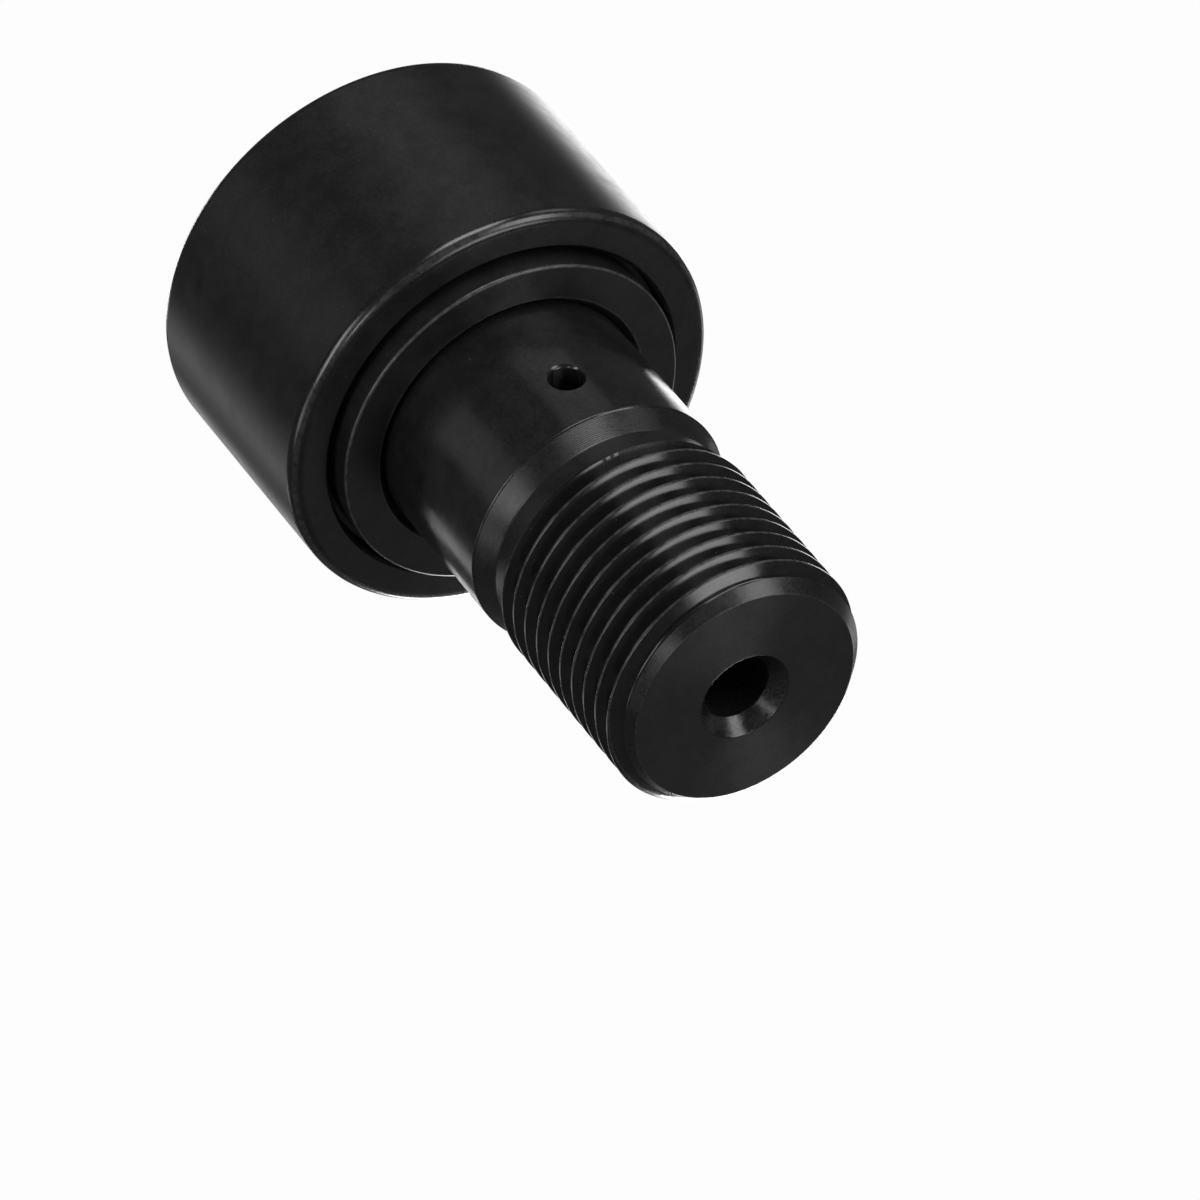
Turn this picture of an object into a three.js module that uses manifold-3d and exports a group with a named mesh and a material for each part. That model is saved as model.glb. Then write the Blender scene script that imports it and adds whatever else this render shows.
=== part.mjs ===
// Stud-type cam follower (track roller) of the heavy-stud inch pattern.
// A black-oxide steel roller turns on a full ring of needles around a stud. The stud has a solid
// head at one end, a pressed-on end plate, a plain shank and a threaded end.
// Millimetres, +Z along the stud from the head to the threaded end, origin on the head's face.

import * as THREE from "three";
import { mergeVertices } from "three/addons/utils/BufferGeometryUtils.js";
import Module from "manifold-3d";

const wasm = await Module();
wasm.setup();

// ---- Driving dimensions -------------------------------------------------------------------

const INCH = 25.4;

const ROLLER_RADIUS = 1.25 * INCH / 2;
const ROLLER_WIDTH = 0.75 * INCH;
const ROLLER_CORNER = 0.9;
const ROLLER_CORNER_STEPS = 3;

const SHANK_RADIUS = 0.75 * INCH / 2;
const STUD_LENGTH = 1.25 * INCH; // from the end plate's face to the threaded end
const THREAD_LENGTH = 0.625 * INCH;
const THREAD_PITCH = INCH / 16;
const THREAD_RADIUS = 9.43;
const THREAD_ROOT_RADIUS = 8.47;
const THREAD_RUNOUT_SLOPE = 0.6; // height gained per unit of radius where the thread begins
const RELIEF_LENGTH = 3.8; // from the thread's last turn to the end of the plain shank
const RELIEF_RADIUS = 8.4;
const RELIEF_CONE_LENGTH = 1.82; // the shallow cone next to the shank
const RELIEF_CONE_DEPTH = 0.65;
const RELIEF_SWEEP_LENGTH = 1.22; // from the cone into the groove's floor
const RELIEF_SWEEP_RISE = 0.06; // left over two thirds of the way through the sweep
const SHANK_EDGE_IN = 0.1; // the broken edge at the shank's end
const SHANK_EDGE_DOWN = 0.15;
const END_CHAMFER_RADIUS = 8.15;
const END_CHAMFER_HEIGHT = 1.5;

const FLANGE_RADIUS = 12.65; // the head's flange and the end plate alike
const FLANGE_THICKNESS = 2.6;
const FLANGE_EDGE_BREAK = 0.15;
const HEAD_STANDS_PROUD = 0.8; // of the roller's back face
const PLATE_STANDS_PROUD = 1.4; // of the roller's front face
const PLATE_BORE_CHAMFER = 0.5;

const COUNTERBORE_RADIUS = 13.1;
const COUNTERBORE_CHAMFER = 0.25;

const NEEDLE_RADIUS = 3 / 32 * INCH / 2;
const NEEDLE_COUNT = 29;
const NEEDLE_LENGTH = 15.3;
const NEEDLE_END_CHAMFER = 0.3;
const JOURNAL_RADIUS = 9.9; // the inner raceway, ground on the stud
const RUNNING_CLEARANCE = 0.03; // radial, between needles and raceways
const FACE_CLEARANCE = 0.3; // axial, between the roller's ledges, the needles and their flanges
const PRESS_CLEARANCE = 0.02; // left between the stud and the plate pressed onto it

const OIL_HOLE_RADIUS = 3 / 32 * INCH / 2;
const OIL_HOLE_FROM_PLATE = 7.6;
const LUBE_HOLE_RADIUS = 3 / 16 * INCH / 2;
const COUNTERSINK_RADIUS = 3.29;
const COUNTERSINK_DEPTH = 1.1;

const SLOT_WIDTH = 3.2;
const SLOT_LENGTH = 16;
const SLOT_DEPTH = 2.2;

const BLANK_MARGIN = 0.02; // how far the blank stands outside the thread's crests
const RIDGE_ROOTED_BY = 0.3; // how deep the thread's ridge reaches into the core
const FLANK_ROOTED_BY = 0.05;
const RIDGE_GAP = 0.02; // left between the ridge's neighbouring turns
const RIDGE_EXTRA_TURNS = 1.75;
const CUT_BEYOND = 1; // how far a cutting tool reaches past the faces that it opens

const ROUND_SEGMENTS = 64;
const HOLE_SEGMENTS = 20;
const NEEDLE_SEGMENTS = 10;
const THREAD_STEPS_PER_TURN = 32;

// ---- Places that follow from the dimensions -----------------------------------------------

const ROLLER_BACK = HEAD_STANDS_PROUD;
const ROLLER_FRONT = ROLLER_BACK + ROLLER_WIDTH;
const PLATE_FRONT = ROLLER_FRONT + PLATE_STANDS_PROUD;
const PLATE_BACK = PLATE_FRONT - FLANGE_THICKNESS;
const STUD_END = PLATE_FRONT + STUD_LENGTH;
const THREAD_START = STUD_END - THREAD_LENGTH;
const SHANK_END = THREAD_START - RELIEF_LENGTH;
const NEEDLE_RING_RADIUS = JOURNAL_RADIUS + RUNNING_CLEARANCE + NEEDLE_RADIUS;
const RACEWAY_RADIUS = NEEDLE_RING_RADIUS + NEEDLE_RADIUS + RUNNING_CLEARANCE;
const NEEDLE_BOTTOM = (FLANGE_THICKNESS + PLATE_BACK - NEEDLE_LENGTH) / 2;

// ---- Materials ----------------------------------------------------------------------------

const blackOxide = new THREE.MeshStandardMaterial({ color: 0x121213, roughness: 0.42, metalness: 0.85 });
const blackPlate = new THREE.MeshStandardMaterial({ color: 0x0e0e0f, roughness: 0.5, metalness: 0.8 });
const groundSteel = new THREE.MeshStandardMaterial({ color: 0xb9bbbe, roughness: 0.25, metalness: 1 });

// ---- Geometry helpers ---------------------------------------------------------------------

// A solid of revolution about +Z. The profile is a list of [radius, z] points that goes up the
// outside, from the axis to the axis or round a closed loop.
function turned(profile, segments = ROUND_SEGMENTS) {
  const points = profile.map(([radius, z]) => new THREE.Vector2(radius, z));
  return new THREE.LatheGeometry(points, segments).rotateX(Math.PI / 2);
}

// The corner radius of a many-sided hole whose flats, not its corners, lie at the given radius.
function holeRadius(radius, segments = ROUND_SEGMENTS) {
  return radius / Math.cos(Math.PI / segments);
}

// Points of a quarter round from one angle to the next about a centre in the profile's plane.
function arc(centreRadius, centreZ, radius, fromDegrees, toDegrees, steps) {
  const points = [];
  for (let i = 0; i <= steps; i += 1) {
    const angle = THREE.MathUtils.degToRad(fromDegrees + (toDegrees - fromDegrees) * i / steps);
    points.push([centreRadius + radius * Math.cos(angle), centreZ + radius * Math.sin(angle)]);
  }
  return points;
}

function toSolid(geometry) {
  const bare = new THREE.BufferGeometry();
  bare.setAttribute("position", geometry.getAttribute("position"));
  bare.setIndex(geometry.index);
  const merged = mergeVertices(bare, 1e-4);
  return new wasm.Manifold(new wasm.Mesh({
    numProp: 3,
    vertProperties: merged.attributes.position.array,
    triVerts: new Uint32Array(merged.index.array),
  }));
}

function toGeometry(solid) {
  const mesh = solid.getMesh();
  const geometry = new THREE.BufferGeometry();
  geometry.setAttribute("position", new THREE.BufferAttribute(mesh.vertProperties, 3));
  geometry.setIndex(new THREE.BufferAttribute(mesh.triVerts, 1));
  geometry.computeVertexNormals();
  return geometry;
}

function named(name, geometry, material) {
  const mesh = new THREE.Mesh(geometry, material);
  mesh.name = name;
  return mesh;
}

// ---- Stud ---------------------------------------------------------------------------------

// The stud's outline from the head's face up to the start of the thread.
function studBase() {
  return [
    [0, 0],
    [FLANGE_RADIUS - FLANGE_EDGE_BREAK, 0],
    [FLANGE_RADIUS, FLANGE_EDGE_BREAK],
    [FLANGE_RADIUS, FLANGE_THICKNESS],
    [JOURNAL_RADIUS, FLANGE_THICKNESS],
    [JOURNAL_RADIUS, PLATE_BACK - PRESS_CLEARANCE],
    [SHANK_RADIUS, PLATE_BACK - PRESS_CLEARANCE],
    [SHANK_RADIUS, SHANK_END - SHANK_EDGE_DOWN],
    [SHANK_RADIUS - SHANK_EDGE_IN, SHANK_END],
    [SHANK_RADIUS - RELIEF_CONE_DEPTH, SHANK_END + RELIEF_CONE_LENGTH],
    [RELIEF_RADIUS + RELIEF_SWEEP_RISE, SHANK_END + RELIEF_CONE_LENGTH + RELIEF_SWEEP_LENGTH * 2 / 3],
    [RELIEF_RADIUS, SHANK_END + RELIEF_CONE_LENGTH + RELIEF_SWEEP_LENGTH],
    [RELIEF_RADIUS, THREAD_START],
  ];
}

// The blank before threading, and the core that the thread's roots reach down to.
function studBlank(radius) {
  const lead = (radius - END_CHAMFER_RADIUS) / (THREAD_RADIUS - END_CHAMFER_RADIUS);
  return turned([
    ...studBase(),
    [radius, THREAD_START + (radius - RELIEF_RADIUS) * THREAD_RUNOUT_SLOPE],
    [radius, STUD_END - END_CHAMFER_HEIGHT * lead],
    [END_CHAMFER_RADIUS, STUD_END],
    [0, STUD_END],
  ]);
}

// A right-hand helical ridge of V section, one closed solid, rooted inside the core.
function threadRidge() {
  const rootRadius = THREAD_ROOT_RADIUS - RIDGE_ROOTED_BY;
  const flankRadius = THREAD_ROOT_RADIUS - FLANK_ROOTED_BY;
  const crestHalf = THREAD_PITCH / 16;
  const rootHalf = crestHalf + (THREAD_RADIUS - rootRadius) * Math.tan(Math.PI / 6);
  const firstZ = THREAD_START - THREAD_PITCH;
  const turns = THREAD_LENGTH / THREAD_PITCH + RIDGE_EXTRA_TURNS;
  const steps = Math.round(turns * THREAD_STEPS_PER_TURN);
  const rootLimit = Math.min(rootHalf, THREAD_PITCH / 2 - RIDGE_GAP);
  const section = [
    [rootRadius, -rootLimit],
    [flankRadius, -rootLimit],
    [THREAD_RADIUS, -crestHalf],
    [THREAD_RADIUS, crestHalf],
    [flankRadius, rootLimit],
    [rootRadius, rootLimit],
  ];
  const positions = [];
  for (let i = 0; i <= steps; i += 1) {
    const turn = i / THREAD_STEPS_PER_TURN;
    const angle = turn * 2 * Math.PI;
    for (const [radius, offset] of section) {
      const z = firstZ + turn * THREAD_PITCH + offset;
      positions.push(radius * Math.cos(angle), radius * Math.sin(angle), z);
    }
  }
  const sides = section.length;
  const index = [];
  for (let i = 0; i < steps; i += 1) {
    for (let k = 0; k < sides; k += 1) {
      const a = i * sides + k;
      const b = i * sides + (k + 1) % sides;
      index.push(a, b + sides, b, a, a + sides, b + sides);
    }
  }
  const last = steps * sides;
  for (let k = 1; k < sides - 1; k += 1) {
    index.push(0, k, k + 1);
    index.push(last, last + k + 1, last + k);
  }
  const geometry = new THREE.BufferGeometry();
  geometry.setAttribute("position", new THREE.Float32BufferAttribute(positions, 3));
  geometry.setIndex(index);
  return geometry;
}

// The lubrication hole, bored right through and countersunk at both ends.
function lubeHole() {
  const flare = (COUNTERSINK_RADIUS - LUBE_HOLE_RADIUS) / COUNTERSINK_DEPTH * CUT_BEYOND;
  return turned([
    [0, -CUT_BEYOND],
    [COUNTERSINK_RADIUS + flare, -CUT_BEYOND],
    [LUBE_HOLE_RADIUS, COUNTERSINK_DEPTH],
    [LUBE_HOLE_RADIUS, STUD_END - COUNTERSINK_DEPTH],
    [COUNTERSINK_RADIUS + flare, STUD_END + CUT_BEYOND],
    [0, STUD_END + CUT_BEYOND],
  ], HOLE_SEGMENTS);
}

// A radial hole from the lubrication hole out through the front side, towards -Y.
function radialHole(z) {
  const length = JOURNAL_RADIUS + CUT_BEYOND;
  const hole = new THREE.CylinderGeometry(OIL_HOLE_RADIUS, OIL_HOLE_RADIUS, length, HOLE_SEGMENTS);
  return hole.translate(0, -length / 2, 0).translate(0, 0, z);
}

// A closed-end screwdriver slot across the head's face.
function driverSlot() {
  const half = SLOT_WIDTH / 2;
  const reach = SLOT_LENGTH / 2 - half;
  const outline = new THREE.Shape();
  outline.absarc(reach, 0, half, -Math.PI / 2, Math.PI / 2, false);
  outline.absarc(-reach, 0, half, Math.PI / 2, 3 * Math.PI / 2, false);
  outline.closePath();
  const options = { depth: SLOT_DEPTH + CUT_BEYOND, bevelEnabled: false, curveSegments: 6 };
  return new THREE.ExtrudeGeometry(outline, options).translate(0, 0, -CUT_BEYOND);
}

function stud() {
  const blank = toSolid(studBlank(THREAD_RADIUS + BLANK_MARGIN));
  const core = toSolid(studBlank(THREAD_ROOT_RADIUS));
  const ridge = toSolid(threadRidge()).intersect(blank);
  let solid = core.add(ridge);
  const oilHoleZ = PLATE_FRONT + OIL_HOLE_FROM_PLATE;
  const racewayHoleZ = (ROLLER_BACK + ROLLER_FRONT) / 2;
  for (const cutter of [lubeHole(), radialHole(oilHoleZ), radialHole(racewayHoleZ), driverSlot()]) {
    solid = solid.subtract(toSolid(cutter));
  }
  return named("stud", toGeometry(solid), blackOxide);
}

// ---- End plate ----------------------------------------------------------------------------

function endPlate() {
  const bore = holeRadius(SHANK_RADIUS + PRESS_CLEARANCE);
  const profile = [
    [bore, PLATE_BACK],
    [FLANGE_RADIUS, PLATE_BACK],
    [FLANGE_RADIUS, PLATE_FRONT - FLANGE_EDGE_BREAK],
    [FLANGE_RADIUS - FLANGE_EDGE_BREAK, PLATE_FRONT],
    [bore + PLATE_BORE_CHAMFER, PLATE_FRONT],
    [bore, PLATE_FRONT - PLATE_BORE_CHAMFER],
    [bore, PLATE_BACK],
  ];
  return named("end_plate", turned(profile), blackPlate);
}

// ---- Roller -------------------------------------------------------------------------------

// The outer ring: rounded outer corners, a counterbore at each side, and the raceway between.
function outerRing() {
  const inset = ROLLER_RADIUS - ROLLER_CORNER;
  const counterbore = holeRadius(COUNTERBORE_RADIUS);
  const raceway = holeRadius(RACEWAY_RADIUS);
  const lowerLedge = FLANGE_THICKNESS + FACE_CLEARANCE;
  const upperLedge = PLATE_BACK - FACE_CLEARANCE;
  const lower = arc(inset, ROLLER_BACK + ROLLER_CORNER, ROLLER_CORNER, -90, 0, ROLLER_CORNER_STEPS);
  const upper = arc(inset, ROLLER_FRONT - ROLLER_CORNER, ROLLER_CORNER, 0, 90, ROLLER_CORNER_STEPS);
  const profile = [
    [counterbore + COUNTERBORE_CHAMFER, ROLLER_BACK],
    ...lower,
    ...upper,
    [counterbore + COUNTERBORE_CHAMFER, ROLLER_FRONT],
    [counterbore, ROLLER_FRONT - COUNTERBORE_CHAMFER],
    [counterbore, upperLedge],
    [raceway, upperLedge],
    [raceway, lowerLedge],
    [counterbore, lowerLedge],
    [counterbore, ROLLER_BACK + COUNTERBORE_CHAMFER],
    [counterbore + COUNTERBORE_CHAMFER, ROLLER_BACK],
  ];
  return named("outer_ring", turned(profile), blackOxide);
}

// ---- Needles ------------------------------------------------------------------------------

function needle(number) {
  const flat = NEEDLE_RADIUS - NEEDLE_END_CHAMFER;
  const geometry = turned([
    [0, 0],
    [flat, 0],
    [NEEDLE_RADIUS, NEEDLE_END_CHAMFER],
    [NEEDLE_RADIUS, NEEDLE_LENGTH - NEEDLE_END_CHAMFER],
    [flat, NEEDLE_LENGTH],
    [0, NEEDLE_LENGTH],
  ], NEEDLE_SEGMENTS);
  const name = "needle_" + String(number).padStart(2, "0");
  const mesh = named(name, geometry, groundSteel);
  const angle = (number - 1) * 2 * Math.PI / NEEDLE_COUNT;
  mesh.position.set(
    NEEDLE_RING_RADIUS * Math.cos(angle),
    NEEDLE_RING_RADIUS * Math.sin(angle),
    NEEDLE_BOTTOM,
  );
  return mesh;
}

// ---- Assembly -----------------------------------------------------------------------------

const camFollower = new THREE.Group();
camFollower.add(stud(), endPlate(), outerRing());
for (let number = 1; number <= NEEDLE_COUNT; number += 1) {
  camFollower.add(needle(number));
}

export default camFollower;
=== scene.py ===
import math

import bmesh
import bpy
from mathutils import Matrix, Vector


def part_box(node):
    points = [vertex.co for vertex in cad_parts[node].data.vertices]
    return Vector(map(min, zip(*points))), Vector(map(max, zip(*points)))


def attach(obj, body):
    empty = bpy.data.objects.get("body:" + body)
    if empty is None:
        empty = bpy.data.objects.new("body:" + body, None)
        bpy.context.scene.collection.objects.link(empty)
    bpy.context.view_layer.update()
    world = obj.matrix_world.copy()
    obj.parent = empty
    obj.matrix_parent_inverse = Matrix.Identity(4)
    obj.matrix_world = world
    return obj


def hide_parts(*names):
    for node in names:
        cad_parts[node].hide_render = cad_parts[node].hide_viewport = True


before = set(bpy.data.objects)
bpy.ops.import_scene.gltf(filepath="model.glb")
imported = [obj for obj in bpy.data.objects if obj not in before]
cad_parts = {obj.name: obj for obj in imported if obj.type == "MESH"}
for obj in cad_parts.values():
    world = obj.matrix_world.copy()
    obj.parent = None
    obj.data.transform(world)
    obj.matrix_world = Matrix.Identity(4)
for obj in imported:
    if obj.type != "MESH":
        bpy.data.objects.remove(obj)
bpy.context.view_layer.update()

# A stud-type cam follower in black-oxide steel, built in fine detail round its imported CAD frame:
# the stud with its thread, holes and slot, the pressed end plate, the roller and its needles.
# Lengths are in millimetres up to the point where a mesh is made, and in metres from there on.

MM = 0.001
MICRON = 1e-6

# ---- Sizes ----------------------------------------------------------------------------------


def box_mm(node):
    """A CAD node's lowest and highest corners in millimetres."""
    low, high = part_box(node)
    return low / MM, high / MM


stud_high = box_mm("stud")[1]
plate_low, plate_high = box_mm("end_plate")
ring_low, ring_high = box_mm("outer_ring")

ROLLER_RADIUS = ring_high.x
ROLLER_BACK = ring_low.z
ROLLER_FRONT = ring_high.z
ROLLER_CORNER = 0.9
FLANGE_RADIUS = plate_high.x
PLATE_BACK = plate_low.z
PLATE_FRONT = plate_high.z
STUD_END = stud_high.z

INCH = 25.4
SHANK_RADIUS = 0.375 * INCH
THREAD_LENGTH = 0.625 * INCH
THREAD_PITCH = INCH / 16
THREAD_RADIUS = 9.43
THREAD_ROOT_RADIUS = 8.47
RELIEF_LENGTH = 3.8
RELIEF_FLOOR_RADIUS = 8.66
CONE_LENGTH = 1.55
END_CHAMFER_RADIUS = 8.15
END_CHAMFER_HEIGHT = 1.5
FLANGE_THICKNESS = 2.6
JOURNAL_RADIUS = 9.9
COUNTERBORE_RADIUS = 13.1
RACEWAY_RADIUS = 12.34125
NEEDLE_RADIUS = 3 / 64 * INCH
NEEDLE_CORNER = 0.28
NEEDLE_RING_RADIUS = 11.120625
OIL_HOLE_RADIUS = 3 / 64 * INCH
OIL_HOLE_FROM_PLATE = 7.6
LUBE_HOLE_RADIUS = 3 / 32 * INCH
COUNTERSINK_RADIUS = 3.29
COUNTERSINK_DEPTH = 1.1
SLOT_WIDTH = 3.2
SLOT_LENGTH = 16.0
SLOT_DEPTH = 2.2
LEDGE_CLEARANCE = 0.3
PLATE_CLEARANCE = 0.02
COUNTERBORE_BREAK = 0.25
PLATE_BORE_BREAK = 0.5
THREAD_BLANK_RADIUS = THREAD_RADIUS + 0.02
THREAD_RUN_OUT = 0.5  # how far the thread's last groove reaches into the relief's shoulder
OVERRUN = 0.5  # how far a cutting shape reaches past the face it starts from

END_CHAMFER_SLOPE = END_CHAMFER_HEIGHT / (THREAD_RADIUS - END_CHAMFER_RADIUS)
THREAD_START = STUD_END - THREAD_LENGTH
SHANK_END = THREAD_START - RELIEF_LENGTH

STUD_SEGMENTS = 192
RING_SEGMENTS = 256
NEEDLE_SEGMENTS = 28
DRILL_SEGMENTS = 64

# ---- Mesh helpers -----------------------------------------------------------------------------

ARC_STEP = math.radians(15)
STRAIGHT = math.radians(179.5)  # a corner this open isn't rounded
SHARP_ANGLE = math.radians(22)  # shading is smooth across any flatter edge
WELD = 1e-5  # points this close are one
SUPPORT = 0.05  # how far from a rounding a flat gets an extra row, which keeps its shading flat


def rounded(corners, closed=True):
    """The points of an outline from its corners (radius, z, rounding), with the corners rounded."""
    count = len(corners)
    points = []
    for i, (x, y, rounding) in enumerate(corners):
        here = Vector((x, y))
        if not closed and i in (0, count - 1):
            points.append(here)
            continue
        back = Vector(corners[i - 1][:2]) - here
        ahead = Vector(corners[(i + 1) % count][:2]) - here
        inner = back.angle(ahead)
        if rounding == 0 or inner > STRAIGHT:
            points.append(here)
            continue
        reach = rounding / math.tan(inner / 2)
        halfway = (back.normalized() + ahead.normalized()).normalized()
        centre = here + halfway * (rounding / math.sin(inner / 2))
        start = here + back.normalized() * reach - centre
        end = here + ahead.normalized() * reach - centre
        sweep = start.angle_signed(end)
        steps = max(2, math.ceil(abs(sweep) / ARC_STEP))
        if back.length - reach > 3 * SUPPORT:
            points.append(here + back.normalized() * (reach + SUPPORT))
        for k in range(steps + 1):
            turn = -sweep * k / steps
            spoke = Vector((
                start.x * math.cos(turn) - start.y * math.sin(turn),
                start.x * math.sin(turn) + start.y * math.cos(turn),
            ))
            points.append(centre + spoke)
        if ahead.length - reach > 3 * SUPPORT:
            points.append(here + ahead.normalized() * (reach + SUPPORT))
    return points


def new_object(name, mesh_maker):
    """An object with the mesh that mesh_maker(bm) builds in millimetres."""
    bm = bmesh.new()
    mesh_maker(bm)
    bmesh.ops.recalc_face_normals(bm, faces=bm.faces)
    bmesh.ops.scale(bm, vec=(MM, MM, MM), verts=bm.verts)
    mesh = bpy.data.meshes.new(name)
    bm.to_mesh(mesh)
    bm.free()
    obj = bpy.data.objects.new(name, mesh)
    bpy.context.scene.collection.objects.link(obj)
    return obj


def spokes(count):
    """The (cosine, sine) of count even steps round a circle."""
    angles = [2 * math.pi * i / count for i in range(count)]
    return [(math.cos(angle), math.sin(angle)) for angle in angles]


def lathe(bm, points, segments, place=None):
    """A closed outline of (radius, z) turned about Z, or about place's Z axis."""
    place = place or Matrix.Identity(4)
    columns = []
    for cos, sin in spokes(segments):
        column = [place @ Vector((p.x * cos, p.x * sin, p.y)) for p in points]
        columns.append([bm.verts.new(point) for point in column])
    for i in range(segments):
        near, far = columns[i], columns[(i + 1) % segments]
        for k in range(len(points)):
            n = (k + 1) % len(points)
            bm.faces.new((near[k], far[k], far[n], near[n]))
    bmesh.ops.remove_doubles(bm, verts=bm.verts, dist=WELD)


def combine(target, tool, operation):
    """Cuts target with tool, or keeps only what the two share, and removes tool."""
    modifier = target.modifiers.new("combine", "BOOLEAN")
    modifier.solver = "MANIFOLD"
    modifier.operation = operation
    modifier.object = tool
    depsgraph = bpy.context.evaluated_depsgraph_get()
    mesh = bpy.data.meshes.new_from_object(target.evaluated_get(depsgraph))
    target.modifiers.clear()
    old = target.data
    target.data = mesh
    bpy.data.meshes.remove(old)
    bpy.data.objects.remove(tool)


def smooth(obj):
    """Smooth shading that stops at sharp edges."""
    obj.data.shade_smooth()
    obj.data.set_sharp_from_angle(angle=SHARP_ANGLE)


# ---- Stud -------------------------------------------------------------------------------------


def stud_outline():
    """The stud before its thread is cut, from the head up the outside and back down the bore."""
    blank_end = STUD_END - (THREAD_BLANK_RADIUS - END_CHAMFER_RADIUS) * END_CHAMFER_SLOPE
    shoulder = THREAD_BLANK_RADIUS - RELIEF_FLOOR_RADIUS
    return rounded([
        (COUNTERSINK_RADIUS, 0, 0.08),
        (FLANGE_RADIUS, 0, 0.18),
        (FLANGE_RADIUS, FLANGE_THICKNESS, 0.12),
        (JOURNAL_RADIUS, FLANGE_THICKNESS, 0.15),
        (JOURNAL_RADIUS, PLATE_BACK - PLATE_CLEARANCE, 0.06),
        (SHANK_RADIUS, PLATE_BACK - PLATE_CLEARANCE, 0.06),
        (SHANK_RADIUS, SHANK_END - 0.12, 0.15),
        (SHANK_RADIUS - 0.10, SHANK_END, 0.10),
        (RELIEF_FLOOR_RADIUS, SHANK_END + CONE_LENGTH, 0.35),
        (RELIEF_FLOOR_RADIUS, THREAD_START - shoulder, 0.12),
        (THREAD_BLANK_RADIUS, THREAD_START, 0),
        (THREAD_BLANK_RADIUS, blank_end, 0.05),
        (END_CHAMFER_RADIUS, STUD_END, 0.12),
        (COUNTERSINK_RADIUS, STUD_END, 0.08),
        (LUBE_HOLE_RADIUS, STUD_END - COUNTERSINK_DEPTH, 0.1),
        (LUBE_HOLE_RADIUS, COUNTERSINK_DEPTH, 0.1),
    ])


def thread_section():
    """One pitch of the thread as (height along the stud, radius), from one root to the next."""
    crest = THREAD_PITCH / 16
    root = crest + (THREAD_RADIUS - THREAD_ROOT_RADIUS) * math.tan(math.radians(30))
    half = THREAD_PITCH / 2
    return rounded([
        (-half, THREAD_ROOT_RADIUS, 0),
        (-root, THREAD_ROOT_RADIUS, 0.16),
        (-crest, THREAD_RADIUS, 0.075),
        (crest, THREAD_RADIUS, 0.075),
        (root, THREAD_ROOT_RADIUS, 0.16),
        (half, THREAD_ROOT_RADIUS, 0),
    ], closed=False)[:-1]


def clipped(line, low, high):
    """A rising line of (height, radius), with the points beyond low and high moved to the crossing."""
    def crossing(level):
        after = next(i for i, point in enumerate(line) if point[0] >= level)
        (z0, r0), (z1, r1) = line[after - 1], line[after]
        return level, r0 + (r1 - r0) * (level - z0) / (z1 - z0)

    ends = {True: crossing(low), False: crossing(high)}
    return [point if low <= point[0] <= high else ends[point[0] < low] for point in line]


def threaded_bar(bm):
    """A bar, wide as far as the thread's run-out, that carries the right-hand thread from there on."""
    section = thread_section()
    rows_per_turn = len(section)
    low = THREAD_START - THREAD_RUN_OUT
    high = STUD_END + OVERRUN
    wide = 14.0  # clears the head
    wide_z = low - (wide - SHANK_RADIUS) * 0.55  # a cone like the thread's flank, clear of the shank
    base = -1  # below the head
    crest_at = THREAD_START - THREAD_PITCH
    first = crest_at - THREAD_PITCH * (1 + math.ceil((crest_at - low) / THREAD_PITCH))
    turns = math.ceil((high - first) / THREAD_PITCH) + 2
    rows = turns * rows_per_turn
    low_ring = []
    wide_ring = []
    for cos, sin in spokes(STUD_SEGMENTS):
        low_ring.append(bm.verts.new((wide * cos, wide * sin, base)))
        wide_ring.append(bm.verts.new((wide * cos, wide * sin, wide_z)))
    grid = []
    for i, (cos, sin) in enumerate(spokes(STUD_SEGMENTS)):
        shift = first + THREAD_PITCH * i / STUD_SEGMENTS
        helix = []
        for j in range(rows + 1):
            at = section[j % rows_per_turn]
            helix.append((shift + THREAD_PITCH * (j // rows_per_turn) + at.x, at.y))
        grid.append([bm.verts.new((r * cos, r * sin, z)) for z, r in clipped(helix, low, high)])
    bottom = bm.verts.new((0, 0, base))
    top = bm.verts.new((0, 0, high))
    for i in range(STUD_SEGMENTS):
        n = (i + 1) % STUD_SEGMENTS
        turn = rows_per_turn if n == 0 else 0
        bm.faces.new((bottom, low_ring[n], low_ring[i]))
        bm.faces.new((low_ring[i], low_ring[n], wide_ring[n], wide_ring[i]))
        bm.faces.new((wide_ring[i], wide_ring[n], grid[n][turn], grid[i][0]))
        for j in range(rows - turn):
            bm.faces.new((grid[i][j], grid[n][j + turn], grid[n][j + turn + 1], grid[i][j + 1]))
        bm.faces.new((grid[i][rows - turn], grid[n][rows], top))
    bmesh.ops.remove_doubles(bm, verts=bm.verts, dist=WELD)


def radial_cutter(z, surface):
    """A drill towards -Y at height z that breaks the edge where it leaves the given radius."""
    place = Matrix.Translation((0, 0, z)) @ Matrix.Rotation(math.radians(90), 4, "X")
    tip = 0.4  # inside the lubrication hole
    outside = surface + 0.45
    outline = [
        Vector((0, tip)),
        Vector((OIL_HOLE_RADIUS, tip)),
        Vector((OIL_HOLE_RADIUS, surface - 0.30)),
        Vector((OIL_HOLE_RADIUS + 0.03, surface - 0.20)),
        Vector((OIL_HOLE_RADIUS + 0.10, surface - 0.10)),
        Vector((OIL_HOLE_RADIUS + 0.70, outside)),
        Vector((0, outside)),
    ]
    return new_object("drill", lambda bm: lathe(bm, outline, DRILL_SEGMENTS, place))


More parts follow.
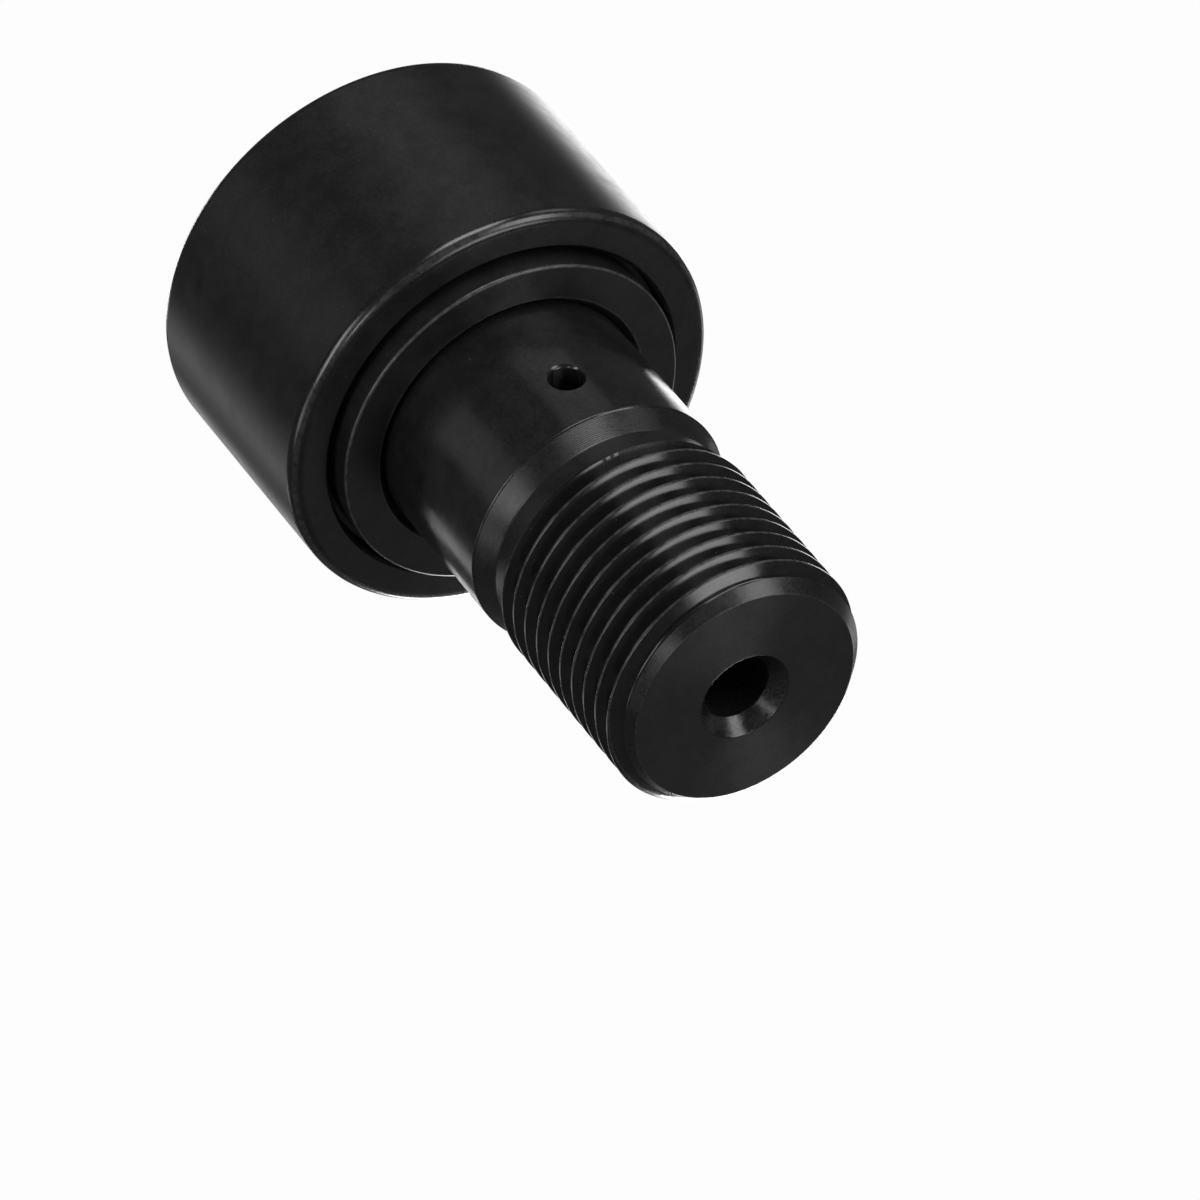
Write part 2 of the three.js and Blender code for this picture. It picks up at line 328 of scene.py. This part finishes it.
def slot_cutter(bm):
    """The closed-end driver slot across the head, with broken edges and a rounded floor."""
    reach = (SLOT_LENGTH - SLOT_WIDTH) / 2
    levels = [  # height, and how much wider than the slot it is there on each side
        (-OVERRUN, 0.62),
        (0.12, 0),
        (SLOT_DEPTH - 0.25, 0),
        (SLOT_DEPTH - 0.07, -0.07),
        (SLOT_DEPTH, -0.25),
    ]
    half_steps = 24
    rings = []
    for z, grow in levels:
        radius = SLOT_WIDTH / 2 + grow
        ring = []
        for side, turned in ((1, 0), (-1, math.pi)):
            for k in range(half_steps + 1):
                angle = math.pi * (k / half_steps - 0.5) + turned
                x = side * reach + radius * math.cos(angle)
                ring.append(bm.verts.new((x, radius * math.sin(angle), z)))
        rings.append(ring)
    count = len(rings[0])
    for lower, upper in zip(rings, rings[1:]):
        for k in range(count):
            n = (k + 1) % count
            bm.faces.new((lower[k], lower[n], upper[n], upper[k]))
    bm.faces.new(rings[0])
    bm.faces.new(rings[-1])


stud = new_object("stud_turned", lambda bm: lathe(bm, stud_outline(), STUD_SEGMENTS))
combine(stud, new_object("bar", threaded_bar), "INTERSECT")
combine(stud, radial_cutter(PLATE_FRONT + OIL_HOLE_FROM_PLATE, SHANK_RADIUS), "DIFFERENCE")
combine(stud, radial_cutter((ROLLER_BACK + ROLLER_FRONT) / 2, JOURNAL_RADIUS), "DIFFERENCE")
combine(stud, new_object("slot", slot_cutter), "DIFFERENCE")
smooth(stud)
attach(stud, "stud_body")
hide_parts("stud")

# ---- End plate, roller and needles --------------------------------------------------------------


def plate_outline():
    """The end plate, with a chamfer at its bore and a broken outer edge."""
    bore = SHANK_RADIUS + PLATE_CLEARANCE
    return rounded([
        (bore, PLATE_BACK, 0.08),
        (FLANGE_RADIUS, PLATE_BACK, 0.15),
        (FLANGE_RADIUS, PLATE_FRONT, 0.24),
        (bore + PLATE_BORE_BREAK, PLATE_FRONT, 0.08),
        (bore, PLATE_FRONT - PLATE_BORE_BREAK, 0.08),
    ])


def ring_outline():
    """The roller, with its raceway, a ledge at each end of it and a counterbore beyond each ledge."""
    lower_ledge = FLANGE_THICKNESS + LEDGE_CLEARANCE
    upper_ledge = PLATE_BACK - LEDGE_CLEARANCE
    return rounded([
        (COUNTERBORE_RADIUS + COUNTERBORE_BREAK, ROLLER_BACK, 0.06),
        (ROLLER_RADIUS, ROLLER_BACK, ROLLER_CORNER),
        (ROLLER_RADIUS, ROLLER_FRONT, ROLLER_CORNER),
        (COUNTERBORE_RADIUS + COUNTERBORE_BREAK, ROLLER_FRONT, 0.06),
        (COUNTERBORE_RADIUS, ROLLER_FRONT - COUNTERBORE_BREAK, 0.06),
        (COUNTERBORE_RADIUS, upper_ledge, 0.15),
        (RACEWAY_RADIUS, upper_ledge, 0.1),
        (RACEWAY_RADIUS, lower_ledge, 0.1),
        (COUNTERBORE_RADIUS, lower_ledge, 0.15),
        (COUNTERBORE_RADIUS, ROLLER_BACK + COUNTERBORE_BREAK, 0.06),
    ])


plate = new_object("end_plate_turned", lambda bm: lathe(bm, plate_outline(), RING_SEGMENTS))
smooth(plate)
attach(plate, "stud_body")
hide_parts("end_plate")

ring = new_object("roller_turned", lambda bm: lathe(bm, ring_outline(), RING_SEGMENTS))
smooth(ring)
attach(ring, "roller")
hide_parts("outer_ring")

needles = []
for node in sorted(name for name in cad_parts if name.startswith("needle_")):
    low, high = box_mm(node)
    centre = (low + high) / 2
    outline = rounded([
        (0, low.z, 0),
        (NEEDLE_RADIUS, low.z, NEEDLE_CORNER),
        (NEEDLE_RADIUS, high.z, NEEDLE_CORNER),
        (0, high.z, 0),
    ])
    angle = math.atan2(centre.y, centre.x)
    place = Matrix.Translation((
        NEEDLE_RING_RADIUS * math.cos(angle),
        NEEDLE_RING_RADIUS * math.sin(angle),
        0,
    ))
    needle = new_object(node + "_ground", lambda bm: lathe(bm, outline, NEEDLE_SEGMENTS, place))
    smooth(needle)
    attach(needle, "needle_set")
    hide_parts(node)
    needles.append(needle)

# ---- Materials ----------------------------------------------------------------------------------


class Nodes:
    """A material's node tree, built with a few short calls."""

    def __init__(self, name):
        self.material = bpy.data.materials.new(name)
        self.material.use_nodes = True
        self.tree = self.material.node_tree
        self.tree.nodes.clear()

    def add(self, kind, links=None, values=None, **settings):
        node = self.tree.nodes.new("ShaderNode" + kind)
        for key, value in settings.items():
            setattr(node, key, value)
        for socket, value in (values or {}).items():
            node.inputs[socket].default_value = value
        for socket, source in (links or {}).items():
            self.tree.links.new(source, node.inputs[socket])
        return node

    def math(self, operation, a, b=None):
        node = self.add("Math", operation=operation)
        for i, value in enumerate((a, b)):
            if value is None:
                continue
            if isinstance(value, (int, float)):
                node.inputs[i].default_value = value
            else:
                self.tree.links.new(value, node.inputs[i])
        return node.outputs[0]

    def remap(self, source, low, high, to_low, to_high):
        node = self.add("MapRange", {"Value": source}, {
            "From Min": low, "From Max": high, "To Min": to_low, "To Max": to_high,
        }, clamp=True, interpolation_type="SMOOTHSTEP")
        return node.outputs["Result"]

    def noise(self, vector, scale, detail=3.0, roughness=0.5):
        node = self.add("TexNoise", {"Vector": vector}, {
            "Scale": scale, "Detail": detail, "Roughness": roughness,
        })
        return node.outputs["Fac"]

    def place(self):
        """Object coordinates in millimetres, the distance from the axis, the height and the angle."""
        where = self.add("TexCoord").outputs["Object"]
        scaled = self.add("VectorMath", {0: where}, {"Scale": 1 / MM}, operation="SCALE")
        x, y, z = self.add("SeparateXYZ", {0: scaled.outputs[0]}).outputs
        square = self.math("ADD", self.math("MULTIPLY", x, x), self.math("MULTIPLY", y, y))
        return scaled.outputs[0], self.math("SQRT", square), z, self.math("ARCTAN2", y, x)

    def mix(self, share, colour, other):
        """A colour that goes from one to the other with share; each is a socket or three numbers."""
        node = self.add("MixRGB", {"Fac": share})
        for name, value in (("Color1", colour), ("Color2", other)):
            if isinstance(value, tuple):
                node.inputs[name].default_value = (*value, 1)
            else:
                self.tree.links.new(value, node.inputs[name])
        return node.outputs[0]

    def vector(self, x, y, z):
        node = self.add("CombineXYZ")
        for i, value in enumerate((x, y, z)):
            if isinstance(value, (int, float)):
                node.inputs[i].default_value = value
            else:
                self.tree.links.new(value, node.inputs[i])
        return node.outputs[0]


def oxide(name, rough, gloss, contrast, grain_depth, grooves=None, aniso=0.0, worn=None):
    """Black-oxide steel: cloudy tone, grainy sheen, marks round the axis, and a few pale specks.

    rough is the (least, most) roughness.
    gloss is the specular level, and contrast is how far the clouds vary it.
    grain_depth is in microns.
    grooves is the (pitch, depth) of turned lines, in millimetres and microns.
    worn(nodes, radius, height) is where the black has rubbed off, from 0 to 1.
    """
    n = Nodes(name)
    where, radius, height, angle = n.place()
    cloud = n.noise(where, 0.5, 4.0, 0.6)
    grain = n.noise(where, 4.5, 4.0, 0.75)
    marks = n.noise(n.vector(radius, height, n.math("MULTIPLY", angle, 1.5)), 3.0, 3.0, 0.7)
    tone = n.math("ADD", n.math("MULTIPLY", cloud, 0.45), n.math("MULTIPLY", grain, 0.55))
    black = n.mix(n.remap(tone, 0.38, 0.62, 0.0, 1.0), BLACK, BLACK_WORN)

    dots = n.add("TexVoronoi", {"Vector": where}, {"Scale": 1.1})
    small = n.math("LESS_THAN", dots.outputs["Distance"], 0.055)
    lot = n.add("SeparateXYZ", {0: dots.outputs["Color"]}).outputs[0]
    speck = n.math("MULTIPLY", small, n.math("GREATER_THAN", lot, 0.55))
    pale = n.math("MULTIPLY", speck, 0.5)
    if worn:
        patchy = n.remap(n.noise(where, 1.7, 3.0, 0.6), 0.36, 0.60, 0.25, 1.0)
        pale = n.math("MAXIMUM", pale, n.math("MULTIPLY", worn(n, radius, height), patchy))
    colour = n.mix(pale, black, RUBBED)

    uneven = n.math("ADD", n.math("MULTIPLY", cloud, 0.4), n.math("MULTIPLY", marks, 0.25))
    uneven = n.math("ADD", uneven, n.math("MULTIPLY", grain, 0.35))
    relief = n.math("ADD", n.math("MULTIPLY", grain, grain_depth), n.math("MULTIPLY", marks, 0.5))
    if grooves:
        pitch, depth = grooves
        path = n.math("SUBTRACT", height, radius)
        wave = n.math("SINE", n.math("MULTIPLY", path, 2 * math.pi / pitch))
        relief = n.math("ADD", relief, n.math("MULTIPLY", wave, depth / 2))
    bump = n.add("Bump", {"Height": relief}, {"Strength": 1.0, "Distance": MICRON})
    least_gloss, most_gloss = (1 - contrast) * gloss, (1 + contrast) * gloss
    shader = n.add("BsdfPrincipled", {
        "Base Color": colour,
        "Roughness": n.remap(uneven, 0.36, 0.64, rough[0], rough[1]),
        "Specular IOR Level": n.remap(tone, 0.36, 0.64, least_gloss, most_gloss),
        "Normal": bump.outputs[0],
    }, {"Anisotropic": aniso, "Anisotropic Rotation": 0.25, "Metallic": 0.0})
    if aniso:
        tangent = n.add("Tangent", direction_type="RADIAL", axis="Z")
        n.tree.links.new(tangent.outputs[0], shader.inputs["Tangent"])
    n.add("OutputMaterial", {"Surface": shader.outputs[0]})
    return n.material


def rubbed_crests(n, radius, height):
    """The tips of the thread."""
    tips = n.remap(radius, THREAD_RADIUS - 0.035, THREAD_RADIUS - 0.005, 0.0, 0.5)
    cone = n.math("MULTIPLY", n.math("SUBTRACT", radius, END_CHAMFER_RADIUS), END_CHAMFER_SLOPE)
    below = n.math("SUBTRACT", n.math("SUBTRACT", STUD_END, height), cone)
    return n.math("MAXIMUM", tips, n.remap(below, 0.02, 0.09, 0.5, 0.0))


def rubbed_rims(*rims):
    """Rounded edges given as (radius, z, reach, share)."""
    def worn(n, radius, height):
        total = None
        for rim_radius, rim_z, reach, share in rims:
            across = n.math("SUBTRACT", radius, rim_radius)
            along = n.math("SUBTRACT", height, rim_z)
            square = n.math("ADD", n.math("MULTIPLY", across, across), n.math("MULTIPLY", along, along))
            near = n.remap(n.math("SQRT", square), 0.3 * reach, reach, share, 0.0)
            total = near if total is None else n.math("MAXIMUM", total, near)
        return total
    return worn


def bright_steel(name):
    """Ground bearing steel with fine lines along the turn and a cloudy sheen."""
    n = Nodes(name)
    where, radius, height = n.place()[:3]
    cloud = n.noise(where, 0.8, 3.0)
    marks = n.noise(n.vector(radius, height, 0.0), 9.0, 2.0)
    bump = n.add("Bump", {"Height": marks}, {"Strength": 1.0, "Distance": MICRON})
    shader = n.add("BsdfPrincipled", {
        "Base Color": n.mix(cloud, STEEL_DIM, STEEL_BRIGHT),
        "Roughness": n.remap(marks, 0.3, 0.7, 0.16, 0.3),
        "Normal": bump.outputs[0],
    }, {"Metallic": 1.0})
    n.add("OutputMaterial", {"Surface": shader.outputs[0]})
    return n.material


BLACK = (0.0088, 0.0088, 0.0090)
BLACK_WORN = (0.0140, 0.0140, 0.0142)
RUBBED = (0.11, 0.11, 0.105)
STEEL_DIM = (0.46, 0.47, 0.48)
STEEL_BRIGHT = (0.60, 0.61, 0.62)

corner_inset = 0.26  # of the middle of the roller's rounded corner
ring_rims = rubbed_rims(
    (ROLLER_RADIUS - corner_inset, ROLLER_FRONT - corner_inset, 0.30, 0.30),
    (ROLLER_RADIUS - corner_inset, ROLLER_BACK + corner_inset, 0.30, 0.30),
)
plate_rims = rubbed_rims(
    (FLANGE_RADIUS - 0.05, PLATE_FRONT - 0.05, 0.16, 0.55),
    (SHANK_RADIUS + 0.52, PLATE_FRONT, 0.12, 0.45),
)
stud_rims = rubbed_rims((END_CHAMFER_RADIUS, STUD_END, 0.10, 0.30))

ground = oxide(
    "oxide_ground", rough=(0.28, 0.38), gloss=0.5, contrast=0.14, grain_depth=0.6, worn=ring_rims)
corner_black = oxide(
    "oxide_corner", rough=(0.18, 0.26), gloss=0.6, contrast=0.15, grain_depth=0.6, worn=ring_rims)
edge_black = oxide(
    "oxide_plate_edge", rough=(0.28, 0.38), gloss=0.5, contrast=0.14, grain_depth=0.6, worn=plate_rims)
rolled = oxide(
    "oxide_thread", rough=(0.13, 0.20), gloss=0.65, contrast=0.15, grain_depth=0.5, worn=rubbed_crests)
turned_face = oxide(
    "oxide_turned", rough=(0.32, 0.40), gloss=0.58, contrast=0.12, grain_depth=0.5,
    aniso=0.75, worn=plate_rims)
turned_cone = oxide(
    "oxide_relief", rough=(0.26, 0.36), gloss=0.5, contrast=0.12, grain_depth=0.4, grooves=(0.18, 5.5))
end_chamfer = oxide(
    "oxide_end_chamfer", rough=(0.24, 0.36), gloss=0.6, contrast=0.2, grain_depth=0.5,
    grooves=(0.12, 1.2), worn=stud_rims)
shank_finish = oxide(
    "oxide_shank", rough=(0.13, 0.27), gloss=0.6, contrast=0.25, grain_depth=1.0)
bore_finish = oxide(
    "oxide_bore", rough=(0.20, 0.35), gloss=0.7, contrast=0.3, grain_depth=5.0)
needle_finish = bright_steel("needle_ground")

FLAT = 0.97  # the least height of a normal on a flat end face
UPRIGHT = 0.05  # the most height of a normal on a straight wall


def paint(obj, finishes, choose):
    """Gives each face of obj the finish that choose(radius, z, normal) returns, in millimetres."""
    obj.data.materials.clear()
    for finish in finishes:
        obj.data.materials.append(finish)
    for face in obj.data.polygons:
        centre = face.center / MM
        finish = choose(math.hypot(centre.x, centre.y), centre.z, face.normal)
        face.material_index = finishes.index(finish)


def stud_zone(radius, z, normal):
    if radius < COUNTERSINK_RADIUS - 0.02:
        return bore_finish
    if abs(normal.z) > FLAT:
        return turned_face
    below_cone = STUD_END - z - (radius - END_CHAMFER_RADIUS) * END_CHAMFER_SLOPE
    if normal.z > 0 and abs(below_cone) < 0.03:
        return end_chamfer
    if z > THREAD_START:
        return rolled
    if z > SHANK_END:
        return turned_cone
    return shank_finish


def plate_zone(radius, z, normal):
    return turned_face if abs(normal.z) > FLAT else edge_black


def ring_zone(radius, z, normal):
    if abs(normal.z) > FLAT:
        return turned_face
    if abs(normal.z) > UPRIGHT and radius > ROLLER_RADIUS - ROLLER_CORNER:
        return corner_black
    return ground


stud_finishes = [shank_finish, rolled, turned_face, turned_cone, bore_finish, end_chamfer]
paint(stud, stud_finishes, stud_zone)
paint(plate, [edge_black, turned_face], plate_zone)
paint(ring, [ground, turned_face, corner_black], ring_zone)
for needle in needles:
    needle.data.materials.append(needle_finish)

# ---- Camera ---------------------------------------------------------------------------------------

VIEW_AZIMUTH = 29.141
VIEW_ELEVATION = 41.440
VIEW_ROLL = -139.85
VIEW_DISTANCE = 767.715  # along the view, to the middle of the threaded end's face
END_RIGHT = 9.46  # of the view's axis
END_DOWN = 6.31
LENS = 353.2
SENSOR = 36.0


def view_axes():
    """The camera's right, up and back directions in the part's frame."""
    azimuth, elevation, roll = (math.radians(v) for v in (VIEW_AZIMUTH, VIEW_ELEVATION, VIEW_ROLL))
    back = Vector((
        math.cos(elevation) * math.sin(azimuth),
        -math.cos(elevation) * math.cos(azimuth),
        math.sin(elevation),
    ))
    level_right = Vector((0, 0, 1)).cross(back).normalized()
    level_up = back.cross(level_right)
    up = level_up * math.cos(roll) + level_right * math.sin(roll)
    return up.cross(back), up, back


RIGHT, UP, BACK = view_axes()
end_face = Vector((0, 0, STUD_END))
eye = end_face + BACK * VIEW_DISTANCE - RIGHT * END_RIGHT + UP * END_DOWN


def placed(origin, x, y, z):
    """The transform to a place with the given axes."""
    return Matrix.Translation(origin) @ Matrix((x, y, z)).transposed().to_4x4()


camera_data = bpy.data.cameras.new("camera")
camera_data.lens = LENS
camera_data.sensor_width = SENSOR
camera_data.clip_start = 0.05
camera_data.clip_end = 20
camera = bpy.data.objects.new("camera", camera_data)
camera.matrix_world = placed(eye * MM, RIGHT, UP, BACK)
bpy.context.scene.collection.objects.link(camera)
bpy.context.scene.camera = camera

# ---- Studio -----------------------------------------------------------------------------------------

LAMP_DISTANCE = 1.0
LAMP_TARGET = Vector((0, 0, STUD_END / 2)) * MM
FLOOR_WHITE = (0.98, 0.98, 0.98, 1)
WORLD_STRENGTH = 0.08


def softbox(name, direction, width, height, radiance, shape="RECTANGLE"):
    """A lamp of the given size in metres, which the part sees along direction.

    direction is (right, up, back) of the view.
    """
    towards = (RIGHT * direction[0] + UP * direction[1] + BACK * direction[2]).normalized()
    area = width * height * (math.pi / 4 if shape == "ELLIPSE" else 1)
    data = bpy.data.lights.new(name, "AREA")
    data.shape = shape
    data.size = width
    data.size_y = height
    data.energy = radiance * math.pi * area
    lamp = bpy.data.objects.new(name, data)
    side = UP.cross(towards).normalized()
    rise = towards.cross(side)
    lamp.matrix_world = placed(LAMP_TARGET + towards * LAMP_DISTANCE, side, rise, towards)
    lamp.visible_camera = False
    bpy.context.scene.collection.objects.link(lamp)


softbox("right_box", (0.74, 0.34, 0.58), 0.42, 0.50, 4.0)
softbox("right_strip", (0.74, -0.24, 0.64), 0.50, 0.26, 3.8)
softbox("top_box", (0.10, 0.83, 0.55), 0.55, 0.40, 5.5)
softbox("top_right", (0.54, 0.84, 0.08), 0.34, 0.34, 1.5, "ELLIPSE")
softbox("left_box", (-0.74, -0.08, 0.67), 0.28, 0.60, 5.0)
softbox("front_low", (-0.20, -0.28, 0.94), 0.16, 0.16, 7.0)
softbox("top_glow", (-0.08, 0.99, -0.12), 0.58, 0.58, 0.26, "ELLIPSE")
softbox("left_strip", (-0.92, 0.38, -0.02), 0.24, 0.50, 0.35)
softbox("low_left", (-0.80, -0.50, 0.30), 0.30, 0.30, 2.0)
softbox("left_edge", (-0.66, -0.22, -0.72), 0.20, 0.40, 0.9)
softbox("left_rim", (-0.21, -0.13, -0.97), 0.20, 0.20, 1.1)
softbox("left_back", (-0.48, 0.14, -0.87), 0.18, 0.30, 8.0)
softbox("right_rim", (0.18, 0.26, -0.95), 0.27, 0.30, 3.2)
softbox("right_back", (0.55, -0.10, -0.83), 0.30, 0.30, 1.0)
softbox("low_right", (0.64, -0.76, -0.13), 0.40, 0.40, 0.15)
softbox("low_right_back", (0.28, -0.48, -0.83), 0.55, 0.45, 13.0)


def floor_mesh(bm):
    """A level floor that sweeps up into a wall all round, far outside the part."""
    outline = [(1500, 0), (2200, 160), (2700, 560), (2900, 1200), (2900, 2600)]
    segments = 96
    hub = bm.verts.new((0, 0, 0))
    rings = []
    for radius, z in outline:
        ring_points = [(radius * cos, radius * sin, z) for cos, sin in spokes(segments)]
        rings.append([bm.verts.new(point) for point in ring_points])
    for i in range(segments):
        n = (i + 1) % segments
        bm.faces.new((hub, rings[0][i], rings[0][n]))
        for inner, outer in zip(rings, rings[1:]):
            bm.faces.new((inner[i], outer[i], outer[n], inner[n]))


floor = new_object("floor", floor_mesh)
floor.data.shade_smooth()
floor.visible_glossy = False
floor.visible_diffuse = False
floor.visible_shadow = False

pale = Nodes("pale_floor")
glow = pale.add("Emission", values={"Color": FLOOR_WHITE, "Strength": 1.0})
pale.add("OutputMaterial", {"Surface": glow.outputs[0]})
floor.data.materials.append(pale.material)

world = bpy.data.worlds.new("studio")
bpy.context.scene.world = world
world.use_nodes = True
background = world.node_tree.nodes["Background"]
background.inputs["Color"].default_value = (1, 1, 1, 1)
background.inputs["Strength"].default_value = WORLD_STRENGTH

bpy.context.scene.view_settings.view_transform = "Standard"
